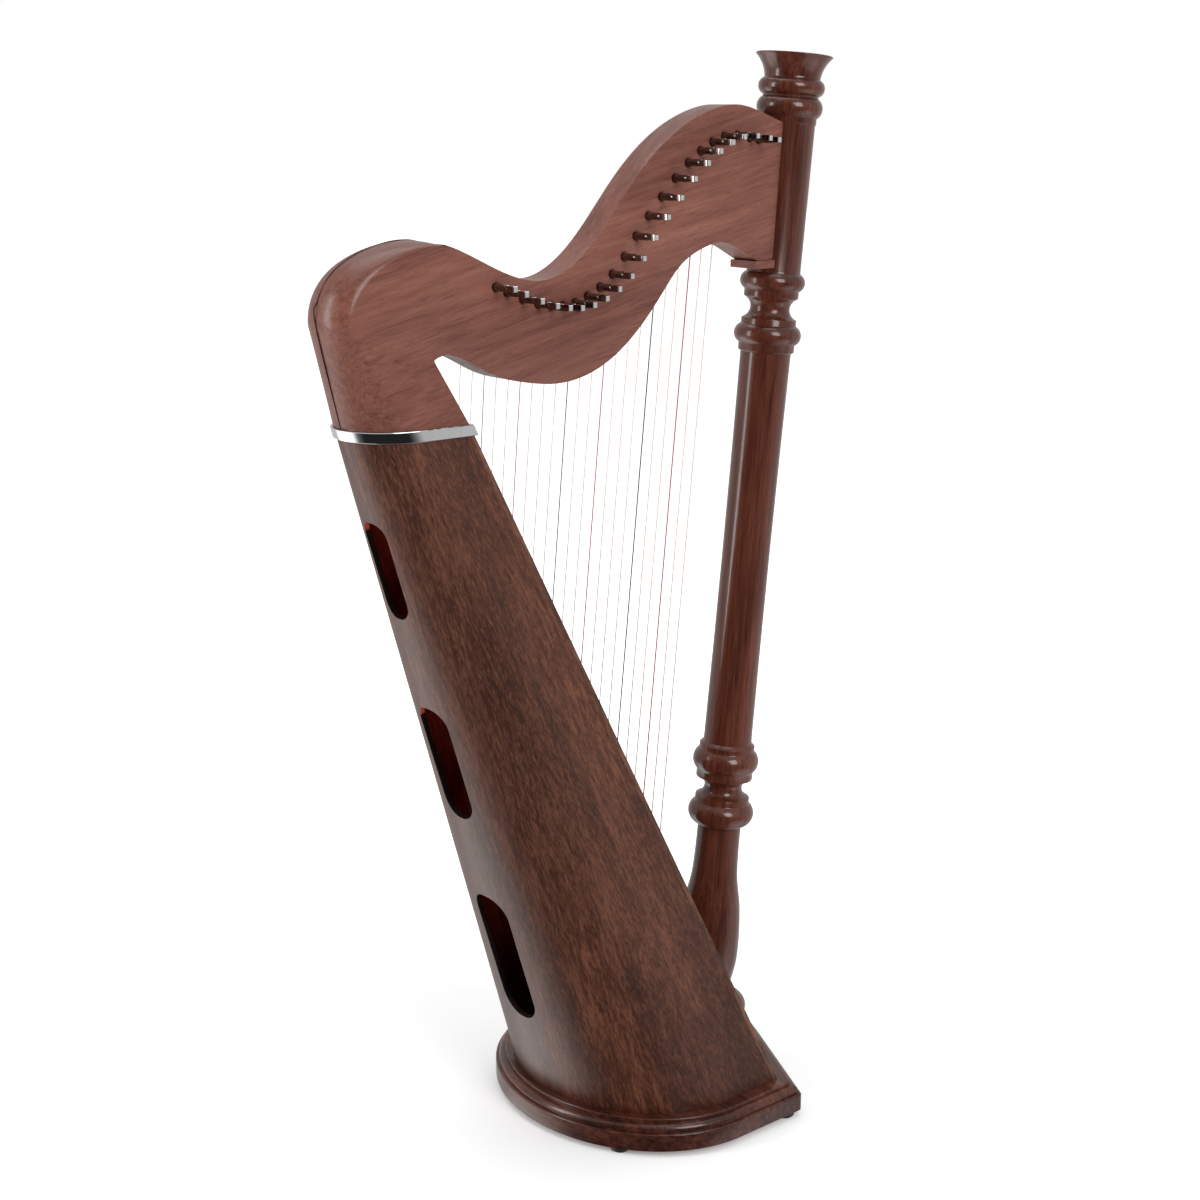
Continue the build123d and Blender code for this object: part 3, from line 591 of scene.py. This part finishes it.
@dataclass
class Joinery:
    """CAD pieces shown as merged copies with eased edges and smooth shading."""

    finish: Finish
    nodes: tuple[str, ...]
    ease: float = 0.0
    steps: int = 2
    smooth_angle: float = 30.0
    creases: tuple[tuple[float, float, float, float], ...] = ()

    def crease(self, mesh: bpy.types.Mesh) -> None:
        """Keeps the edges sharp that lie on the stated lines of the X and Z plane, on the pins' side.

        Args:
            mesh: The piece's mesh.
        """
        for edge in mesh.edges:
            ends = [mesh.vertices[i].co / MM for i in edge.vertices]
            for x1, z1, x2, z2 in self.creases:
                run = Vector((x2 - x1, z2 - z1))
                offs = [abs(run.x * (p.z - z1) - run.y * (p.x - x1)) / run.length for p in ends]
                spans = [run.dot(Vector((p.x - x1, p.z - z1))) / run.length_squared for p in ends]
                on_line = max(offs) < 0.8 and min(spans) > -0.02 and max(spans) < 1.02
                if on_line and ends[0].y < -20:
                    edge.use_edge_sharp = True

    def copy(self, node: str) -> bpy.types.Mesh:
        """A merged copy of a node's mesh with its sharp edges eased.

        Args:
            node: The CAD node.

        Returns:
            The new mesh.
        """
        work = bmesh.new()
        work.from_mesh(frame["nodes"][node].data)
        bmesh.ops.remove_doubles(work, verts=work.verts, dist=2e-6)
        bmesh.ops.dissolve_degenerate(work, edges=work.edges, dist=1e-6)
        if self.ease:
            bmesh.ops.dissolve_limit(work, angle_limit=math.radians(0.4), verts=work.verts, edges=work.edges)
            sharp = [
                edge for edge in work.edges
                if len(edge.link_faces) == 2 and edge.calc_face_angle(0) > math.radians(EASED_ANGLE)
            ]
            bmesh.ops.bevel(
                work, geom=sharp, offset=self.ease, offset_type="OFFSET", segments=self.steps, profile=0.5,
                affect="EDGES", clamp_overlap=True,
            )
        bmesh.ops.triangulate(work, faces=[f for f in work.faces if len(f.verts) > 4])
        points = [tuple(v.co) for v in work.verts]
        work.verts.index_update()
        faces = [[v.index for v in f.verts] for f in work.faces]
        work.free()
        mesh = bpy.data.meshes.new(node)
        mesh.from_pydata(points, [], faces)
        smooth(mesh, self.smooth_angle)
        self.crease(mesh)
        return mesh

    def build(self) -> None:
        """Makes every copy and hides its node."""
        for node in self.nodes:
            piece = bpy.data.objects.new(f"{node}_finished", self.copy(node))
            piece.data.materials.append(self.finish.material())
            self.stain(piece.data)
            bpy.context.scene.collection.objects.link(piece)
            settle(piece, "root", self.finish, node)

    def stain(self, mesh: bpy.types.Mesh) -> None:
        """Plain joinery has one finish all over."""


@dataclass
class GlueLine:
    """The thin dark joint line between the two halves of the shoulder."""

    radius: float = 0.5
    sides: int = 8
    line: tuple[Pair, ...] = (
        (-246.6, 675.0), (-266.1, 757.5), (-263.6, 776.0), (-251.1, 795.5),
        (-229.1, 809.5), (-201.1, 817.5), (-180.1, 819.0), (-164.1, 816.0),
    )

    def build(self) -> None:
        """Grows the line over the back of the shoulder."""
        path = [Vector((x, 0.0, z)) * MM for x, z in curve_through(self.line, 8)]
        tree = tube_tree("glue_line_run", self.sides, Finish.EDGE.material())
        piece = tree.grow("glue_line", path_mesh([path], [[self.radius * MM] * len(path)]))
        mend_normals(piece.data)
        smooth(piece.data, 60.0)
        settle(piece, "root", Finish.NECK)


@dataclass
class Shell(Joinery):
    """The round back: veneered outside, stained dark red inside and black on the edges of its holes."""

    bottom_centre: float = 62.9
    top_centre: float = -199.1
    bottom_height: float = 33.0
    top_height: float = 669.5
    wall_facing: float = 0.35

    def stain(self, mesh: bpy.types.Mesh) -> None:
        """Gives the inside and the hole edges their own finishes.

        Args:
            mesh: The shell's mesh.
        """
        mesh.materials.append(Finish.INSIDE.material())
        mesh.materials.append(Finish.EDGE.material())
        for face in mesh.polygons:
            place = face.center
            share = (place.z / MM - self.bottom_height) / (self.top_height - self.bottom_height)
            middle = (self.bottom_centre + share * (self.top_centre - self.bottom_centre)) * MM
            way = Vector((min(0.0, place.x - middle), place.y, 0.0)).normalized()
            facing = way.dot(face.normal)
            outside, inside = facing > self.wall_facing, facing < -self.wall_facing
            face.material_index = 0 if outside else (1 if inside else 2)


@dataclass
class Turning:
    """A turned piece: its profile follows an axis, and each ring is a step of the profile."""

    name: str
    node: str
    finish: Finish
    profile: list[Pair]
    foot: Vector
    axis: Vector
    sides: int = 96

    def build(self) -> None:
        """Grows the turned solid."""
        path = [self.foot + self.axis * (s * MM) for s, _ in self.profile]
        widths = [r * MM for _, r in self.profile]
        tree = tube_tree(f"{self.name}_lathe", self.sides, self.finish.material())
        piece = tree.grow(self.name, path_mesh([path], [widths]))
        mend_normals(piece.data)
        smooth(piece.data, 28.0)
        settle(piece, "root", self.finish, self.node)


def arc(start: Pair, top: Pair, end: Pair, steps: int = 14) -> list[Pair]:
    """Points on the circle through three points of a profile.

    Args:
        start: Length and radius where the arc starts.
        top: A point it passes.
        end: Where it ends.
        steps: Number of parts.

    Returns:
        The arc's points, both ends included.
    """
    (x1, y1), (x2, y2), (x3, y3) = start, top, end
    d = 2 * (x1 * (y2 - y3) + x2 * (y3 - y1) + x3 * (y1 - y2))
    a, b, c = x1 * x1 + y1 * y1, x2 * x2 + y2 * y2, x3 * x3 + y3 * y3
    cx = (a * (y2 - y3) + b * (y3 - y1) + c * (y1 - y2)) / d
    cy = (a * (x3 - x2) + b * (x1 - x3) + c * (x2 - x1)) / d
    radius = math.hypot(x1 - cx, y1 - cy)
    turns = [math.atan2(y - cy, x - cx) for x, y in (start, top, end)]
    span = (turns[2] - turns[0]) % (2 * math.pi)
    if (turns[1] - turns[0]) % (2 * math.pi) > span:
        span -= 2 * math.pi
    angles = [turns[0] + span * i / steps for i in range(steps + 1)]
    return [(cx + radius * math.cos(t), cy + radius * math.sin(t)) for t in angles]


def swell(points: list[Pair], steps: int = 8) -> list[Pair]:
    """A smooth run through a few points of a profile.

    Args:
        points: Length and radius of each point.
        steps: Parts between two points.

    Returns:
        The run's points, both ends included.
    """
    made = []
    for i in range(len(points) - 1):
        a = points[max(0, i - 1)]
        b, c = points[i], points[i + 1]
        d = points[min(len(points) - 1, i + 2)]
        for k in range(steps):
            t = k / steps
            slope_b = (c[1] - a[1]) / (c[0] - a[0]) * (c[0] - b[0])
            slope_c = (d[1] - b[1]) / (d[0] - b[0]) * (c[0] - b[0])
            shares = (2 * t**3 - 3 * t**2 + 1, t**3 - 2 * t**2 + t, 3 * t**2 - 2 * t**3, t**3 - t**2)
            radius = sum(share * value for share, value in zip(shares, (b[1], slope_b, c[1], slope_c)))
            made.append((b[0] + t * (c[0] - b[0]), radius))
    made.append(points[-1])
    return made


def curve_through(points: tuple[Pair, ...], steps: int) -> list[Pair]:
    """A smooth curve through points of a plane.

    Args:
        points: The points.
        steps: Parts between two points.

    Returns:
        The curve's points, both ends included.
    """
    made = []
    last = len(points) - 1
    for i in range(last):
        a, b, c, d = (points[max(0, min(last, i + k))] for k in (-1, 0, 1, 2))
        for k in range(steps):
            t = k / steps
            shares = (
                -0.5 * t + t**2 - 0.5 * t**3, 1 - 2.5 * t**2 + 1.5 * t**3,
                0.5 * t + 2 * t**2 - 1.5 * t**3, -0.5 * t**2 + 0.5 * t**3,
            )
            pairs = list(zip(shares, (a, b, c, d)))
            made.append(tuple(sum(share * point[axis] for share, point in pairs) for axis in (0, 1)))
    made.append(tuple(points[-1]))
    return made


@dataclass
class Pillar:
    """The turned pillar with its vase, rings, plain shafts and flared cap."""

    lean: float = 5.14
    zero_height: float = 4.5
    axis_x: float = 22.1
    side_ratio: float = 15.0 / 817.0
    plinth_top: float = 33.0
    origin_x: float = field(init=False)

    def __post_init__(self) -> None:
        """Finds the working frame's X from the soundboard's front corner."""
        self.origin_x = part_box("soundboard")[1].x - BOARD_FOOT * MM

    def foot(self) -> Vector:
        """Where the profile starts on the axis."""
        side = -self.side_ratio * (self.zero_height - self.plinth_top)
        return Vector((self.origin_x + self.axis_x * MM, side * MM, self.zero_height * MM))

    def axis(self) -> Vector:
        """The axis's direction."""
        return Vector((math.tan(math.radians(self.lean)), -self.side_ratio, 1.0)).normalized()

    def profile(self) -> list[Pair]:
        """Length and radius along the axis, from the joint with the foot ring to the cap."""
        run = [(74.0, 24.4), (74.6, 25.0)]
        run += swell([(74.7, 25.0), (106, 29.9), (154, 28.2), (188, 22.6), (215, 21.2), (241, 21.0)])
        run += arc((241.2, 21.2), (254, 31.8), (264.5, 26.4))
        run += [(265.0, 26.2), (269.8, 26.2), (270.2, 26.0), (271.3, 23.8)]
        run += arc((271.5, 23.5), (279.5, 18.2), (287.5, 23.5))
        run += [(288.7, 26.9), (289.2, 27.2), (295.8, 27.2)]
        run += arc((296.2, 27.4), (306.5, 31.7), (316.8, 26.8))
        run += [(317.4, 26.6), (321.7, 26.6), (322.2, 26.3), (324.8, 23.4)]
        run += [(330.0, 23.1), (420.0, 22.55), (513.0, 22.4), (610.0, 22.7), (695.0, 23.4), (699.0, 23.5)]
        run += [(700.7, 25.8), (701.2, 26.0), (706.8, 26.0)]
        run += arc((707.2, 26.2), (716.5, 31.1), (724.8, 25.6))
        run += [(725.4, 25.4), (729.7, 25.4), (730.2, 25.2), (731.3, 23.3)]
        run += arc((731.5, 23.0), (740, 18.2), (748.5, 23.0))
        run += [(749.7, 24.9), (750.2, 25.2), (755.8, 25.2)]
        run += arc((756.2, 25.4), (764, 30.0), (772.3, 25.1))
        run += [(774.0, 24.8), (840.0, 24.7), (904.6, 24.6), (905.6, 25.1), (906.2, 25.4), (910.8, 25.4)]
        run += arc((911.2, 25.6), (919.8, 29.9), (928.4, 25.4))
        run += [(929.2, 25.1)]
        run += arc((930.2, 25.4), (937.5, 30.1), (944.8, 25.5))
        run += [(946.0, 25.2)]
        run += arc((947.2, 25.4), (956, 28.2), (964.6, 34.5), 10)
        run += [(965.1, 34.7), (965.7, 34.5), (966.0, 34.1)]
        return run

    def build(self) -> None:
        """Turns the pillar."""
        place = (self.foot(), self.axis())
        Turning("turned_pillar", "pillar", Finish.PILLAR, self.profile(), *place).build()


@dataclass
class StringBand:
    """The strings and the tuning pins that they are wound on, in the CAD's working millimetres."""

    count: int = 22
    spacing: float = 13.0
    lean: float = 6.5
    reference_height: float = 504.5
    thick: float = 1.25
    thin: float = 0.6
    neck_offset: float = 8.0
    bridge_drop: float = 27.0
    pin_radius: float = 3.15
    square_side: float = 5.0
    turns: int = 5
    turn_steps: int = 14
    red: tuple[int, ...] = (2, 9, 16)
    black: tuple[int, ...] = (5, 12, 19)
    board_top: float = -273.5
    board_low_z: float = 33.0
    board_top_z: float = 669.5
    outer_rib: float = 3.0
    eyelet_lift: float = 2.516
    origin_x: float = field(init=False)
    pins: list[Pair] = field(init=False)

    def __post_init__(self) -> None:
        """Reads the pins' places from the joints and the working X from the soundboard."""
        self.origin_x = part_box("soundboard")[1].x / MM - BOARD_FOOT
        places = {joint["child"]: joint["pos_m"] for joint in frame["joints"]}
        self.pins = [(places[n][0] / MM, places[n][2] / MM) for n in sorted(places)]

    def radius(self, index: int) -> float:
        """A string's radius: strings get thinner evenly from bass to treble."""
        return (self.thick + index / (self.count - 1) * (self.thin - self.thick)) / 2

    def line_x(self, index: int, height: float) -> float:
        """Where a string's line is at a height."""
        rise = (height - self.reference_height) * math.tan(math.radians(self.lean))
        return self.origin_x - self.spacing * index + rise

    def board(self) -> tuple[float, Vector]:
        """The soundboard's slope and the direction straight out of it."""
        slope = (self.board_top - BOARD_FOOT) / (self.board_top_z - self.board_low_z)
        return slope, Vector((1.0, 0.0, -slope)).normalized()

    def corner(self, index: int) -> Vector:
        """The corner of a string's route just in front of its eyelet."""
        slope, out = self.board()
        ahead = BOARD_FOOT - slope * self.board_low_z + self.outer_rib + self.eyelet_lift / out.x
        lean = math.tan(math.radians(self.lean))
        height = (ahead + self.spacing * index + self.reference_height * lean) / (lean - slope)
        return Vector((self.line_x(index, height), 0.0, height))

    def route(self, index: int) -> list[Vector]:
        """One string's points: out of the eyelet, past its bridge pin and round its tuning pin.

        Args:
            index: The string's number, bass first.

        Returns:
            The points in metres.
        """
        radius = self.radius(index)
        out = self.board()[1]
        corner = self.corner(index)
        pin_x, pin_z = self.pins[index]
        bridge_z = pin_z - self.bridge_drop
        bend = Vector((self.line_x(index, bridge_z), self.neck_offset, bridge_z))
        up = (bend - corner).normalized()
        ease = [
            corner - out * 2.2, corner - out * 0.9 + up * 0.25, corner - out * 0.3 + up * 1.0,
            corner + up * 2.4,
        ]
        points = [corner - out * 9.0, *ease, bend - up * 1.5]
        reach = self.pin_radius + radius + 0.03
        start = Vector((pin_x - reach, self.neck_offset, pin_z))
        final = (start - bend).normalized()
        points.append(bend + final * 1.5)
        pitch = 2 * radius * 1.02
        for step in range(self.turns * self.turn_steps + 1):
            share = step / self.turn_steps
            angle = math.pi - 2 * math.pi * share
            y = self.neck_offset - pitch * share
            points.append(Vector((pin_x + reach * math.cos(angle), y, pin_z + reach * math.sin(angle))))
        return [p * MM for p in points]

    def strings(self) -> None:
        """Grows the strings of each colour as round cords."""
        every = range(self.count)
        groups = {
            "strings_red": (Finish.RED_STRING, self.red),
            "strings_black": (Finish.BLACK_STRING, self.black),
            "strings_clear": (Finish.CLEAR_STRING, [i for i in every if i not in self.red + self.black]),
        }
        for node, (finish, members) in groups.items():
            routes = [self.route(i) for i in members]
            widths = [[self.radius(i) * MM] * len(route) for i, route in zip(members, routes)]
            tree = tube_tree(f"{node}_run", 8, finish.material())
            piece = tree.grow(f"{node}_wound", path_mesh(routes, widths))
            mend_normals(piece.data)
            smooth(piece.data, 60.0)
            settle(piece, "root", finish, node)

    def round_profile(self) -> list[Pair]:
        """A tuning pin's round part, from the string side: distance along Y and radius."""
        r = self.pin_radius
        rounded_end = [(15.0, r - 1.0), (14.6, r - 0.45), (14.0, r - 0.06), (13.6, r)]
        shoulder = [(-44.2, r), (-44.6, r - 0.08), (-46.7, 2.75), (-47.1, 2.5)]
        return rounded_end + shoulder

    def square_profile(self) -> list[Pair]:
        """Its square end for the key: distance along Y and radius of the corners."""
        corner = self.square_side / 2 * math.sqrt(2.0)
        return [(-45.6, corner), (-55.6, corner), (-56.1, corner - 0.35), (-56.4, corner - 0.9)]

    def tuning_pins(self) -> None:
        """Grows each tuning pin with its round body and its square end, on its own body; its sideways faces
        get a darker brownish steel, a painted reflection of the dark surround and the wood.
        """
        kinds = (
            (tube_tree("pin_round", 32, Finish.PIN.material()), self.round_profile()),
            (tube_tree("pin_square", 4, Finish.PIN.material(), math.radians(45.0)), self.square_profile()),
        )
        for number, (x, z) in enumerate(self.pins, start=1):
            parts = []
            for tree, profile in kinds:
                path = [Vector((x, y, z)) * MM for y, _ in profile]
                parts.append(tree.grow("pin_part", path_mesh([path], [[r * MM for _, r in profile]])))
            piece = join(f"wrest_pin_{number:02d}", parts)
            mend_normals(piece.data)
            smooth(piece.data, 30.0)
            # sideways faces take the darker steel: painted reflection, not a colour of the steel
            piece.data.materials.append(Finish.PIN_PAINTED_REFLECTION.material())
            for face in piece.data.polygons:
                face.material_index = int(abs(face.normal.y) < SIDE_FACING)
            body = f"tuning_pin_{number:02d}"
            settle(piece, body, Finish.PIN, body)

    def build(self) -> None:
        """Builds the strings and the tuning pins."""
        self.strings()
        self.tuning_pins()


def join(name: str, parts: list[bpy.types.Object]) -> bpy.types.Object:
    """Joins finished pieces into one object.

    Args:
        name: The new object's name.
        parts: Objects at the origin with one material each.

    Returns:
        The joined object.
    """
    work = bmesh.new()
    for part in parts:
        work.from_mesh(part.data)
    mesh = bpy.data.meshes.new(name)
    work.to_mesh(mesh)
    work.free()
    mesh.materials.append(parts[0].data.materials[0])
    for part in parts:
        bpy.data.objects.remove(part)
    piece = bpy.data.objects.new(name, mesh)
    bpy.context.scene.collection.objects.link(piece)
    return piece


# ------------------------------------------------------------------ studio
@dataclass
class Studio:
    """The plain pale floor, the soft lights and the camera."""

    eye: Point = (-1.0541, -1.299, 0.9225)
    heading: float = 50.44
    tilt: float = 14.33
    lens: float = 58.14
    floor_half: float = 12.0

    def camera(self) -> None:
        """Sets up the camera at the harp's rear right, a little above it."""
        data = bpy.data.cameras.new("studio_camera")
        data.sensor_width = 36.0
        data.lens = self.lens
        camera = bpy.data.objects.new("studio_camera", data)
        camera.location = self.eye
        camera.rotation_euler = Euler(
            (math.radians(90.0 - self.tilt), 0.0, math.radians(self.heading - 90.0)), "XYZ"
        )
        bpy.context.scene.collection.objects.link(camera)
        bpy.context.scene.camera = camera

    def floor(self) -> None:
        """Lays a wide pale floor that glows more away from the harp, so that no horizon shows."""
        paint = Paint("studio_floor")
        cloud = paint.noise(paint.place(), (2.0, 2.0, 2.0), 2.0)
        colour = paint.mix(cloud * 0.2, (0.93, 0.93, 0.93), (0.90, 0.90, 0.90))
        length = {"operation": "LENGTH"}
        away = paint.node("ShaderNodeVectorMath", length, {0: paint.place()}, "Value")
        glow = paint.mix(away.step(0.25, 1.0), (0.20, 0.20, 0.20), (0.75, 0.75, 0.75))
        material = paint.finish(
            Base_Color=colour, Roughness=0.7, Emission_Color=glow, Emission_Strength=1.0
        )
        mesh = bpy.data.meshes.new("studio_floor")
        half = self.floor_half
        corners = [(-half, -half, 0), (half, -half, 0), (half, half, 0), (-half, half, 0)]
        mesh.from_pydata(corners, [], [(0, 1, 2, 3)])
        mesh.materials.append(material)
        floor = bpy.data.objects.new("studio_floor", mesh)
        bpy.context.scene.collection.objects.link(floor)
        floor.visible_glossy = False

    def lamp(self, name: str, place: Point, target: Point, size: Pair, power: float) -> None:
        """One soft box.

        Args:
            name: Its name.
            place: Where it stands.
            target: What it points at.
            size: Width and height.
            power: Watts.
        """
        data = bpy.data.lights.new(name, "AREA")
        data.shape = "RECTANGLE"
        data.size, data.size_y = size
        data.energy = power
        light = bpy.data.objects.new(name, data)
        light.location = place
        way = Vector(target) - Vector(place)
        light.rotation_euler = way.to_track_quat("-Z", "Y").to_euler()
        bpy.context.scene.collection.objects.link(light)

    def lobe(
        self, tree: bpy.types.NodeTree, way: bpy.types.Node, middle: Point, span: tuple[float, ...]
    ) -> bpy.types.NodeSocket:
        """A soft bright patch of the surround.

        Args:
            tree: The world's tree.
            way: Its Texture Coordinate node.
            middle: Where the patch is.
            span: Cosine where it starts and where it is full, then the strengths there.

        Returns:
            The patch's strength.
        """
        facing = tree.nodes.new("ShaderNodeVectorMath")
        facing.operation = "DOT_PRODUCT"
        facing.inputs[1].default_value = middle
        fade = tree.nodes.new("ShaderNodeMapRange")
        fade.interpolation_type = "SMOOTHSTEP"
        for key, value in zip(("From Min", "From Max", "To Min", "To Max"), span):
            fade.inputs[key].default_value = value
        tree.links.new(way.outputs["Generated"], facing.inputs[0])
        tree.links.new(facing.outputs["Value"], fade.inputs["Value"])
        return fade.outputs["Result"]

    def world(self) -> None:
        """A white surround that lights less than it shows, with two soft patches to reflect."""
        world = bpy.data.worlds.new("studio_world")
        world.use_nodes = True
        tree = world.node_tree
        tree.nodes.clear()
        seen = tree.nodes.new("ShaderNodeLightPath")
        lit = tree.nodes.new("ShaderNodeBackground")
        way = tree.nodes.new("ShaderNodeTexCoord")
        strength = self.lobe(tree, way, (0.59, 0.74, 0.33), (-0.75, -0.10, 0.02, 0.72))
        glints = [
            self.lobe(tree, way, (-0.44, 0.57, -0.70), (0.84, 0.99, 0.0, 1.9)),
            self.lobe(tree, way, (0.30, -0.62, -0.72), (0.86, 0.98, 0.0, 1.1)),
        ]
        for glint in glints:
            shine = tree.nodes.new("ShaderNodeMath")
            shine.operation = "MULTIPLY_ADD"
            tree.links.new(glint, shine.inputs[0])
            tree.links.new(seen.outputs["Is Glossy Ray"], shine.inputs[1])
            tree.links.new(strength, shine.inputs[2])
            strength = shine.outputs[0]
        tree.links.new(strength, lit.inputs["Strength"])
        shown = tree.nodes.new("ShaderNodeBackground")
        shown.inputs["Color"].default_value = (1.0, 1.0, 1.0, 1.0)
        shown.inputs["Strength"].default_value = 1.0
        pick = tree.nodes.new("ShaderNodeMixShader")
        out = tree.nodes.new("ShaderNodeOutputWorld")
        tree.links.new(seen.outputs["Is Camera Ray"], pick.inputs[0])
        tree.links.new(lit.outputs[0], pick.inputs[1])
        tree.links.new(shown.outputs[0], pick.inputs[2])
        tree.links.new(pick.outputs[0], out.inputs["Surface"])
        bpy.context.scene.world = world

    def build(self) -> None:
        """Builds the whole studio."""
        self.camera()
        self.floor()
        self.world()
        middle = (0.0, 0.0, 0.5)
        self.lamp("key_box", (-0.3, -2.5, 1.9), middle, (1.2, 1.6), 44.0)
        self.lamp("top_box", (0.2, 0.3, 2.7), middle, (2.0, 2.0), 22.0)
        self.lamp("left_strip", (-2.1, 0.9, 1.0), middle, (0.5, 2.0), 24.0)
        bpy.context.scene.view_settings.view_transform = "Standard"


# ------------------------------------------------------------------ the harp
def dress(finish: Finish, *nodes: str) -> None:
    """Gives kept CAD nodes their material.

    Args:
        finish: The finish.
        *nodes: The nodes.
    """
    for node in nodes:
        shown = frame["nodes"][node]
        shown.data.materials.clear()
        shown.data.materials.append(finish.material())


def main() -> None:
    """Builds the harp and its studio."""
    Studio().build()
    Shell(Finish.SHELL, ("soundbox_back",), smooth_angle=35.0).build()
    Joinery(
        Finish.NECK, ("neck", "shoulder_left"), ease=0.9 * MM, smooth_angle=26.0, creases=SHOULDER_CREASES
    ).build()
    Joinery(Finish.PLINTH, ("base_plinth",), smooth_angle=35.0).build()
    Joinery(Finish.CHROME, ("chrome_band",), ease=0.5 * MM, steps=1).build()
    Joinery(Finish.PILLAR, ("pillar_foot",)).build()
    GlueLine().build()
    Pillar().build()
    StringBand().build()
    dress(Finish.NECK, "neck_plate")
    dress(Finish.BOARD, "soundboard")
    dress(Finish.RIB, "outer_string_rib", "inner_string_rib")
    dress(Finish.RIB, "side_lining_left", "side_lining_right", "top_block")
    dress(Finish.DOWEL, "shoulder_dowels", "neck_dowels")
    dress(Finish.BRIDGE, "bridge_pins")
    dress(Finish.BRASS, "string_eyelets")
    dress(Finish.BOLT, "foot_screws", "pillar_bolt", "bolt_washer")
    dress(Finish.RUBBER, "rubber_feet")


if __name__ == "__main__":
    main()
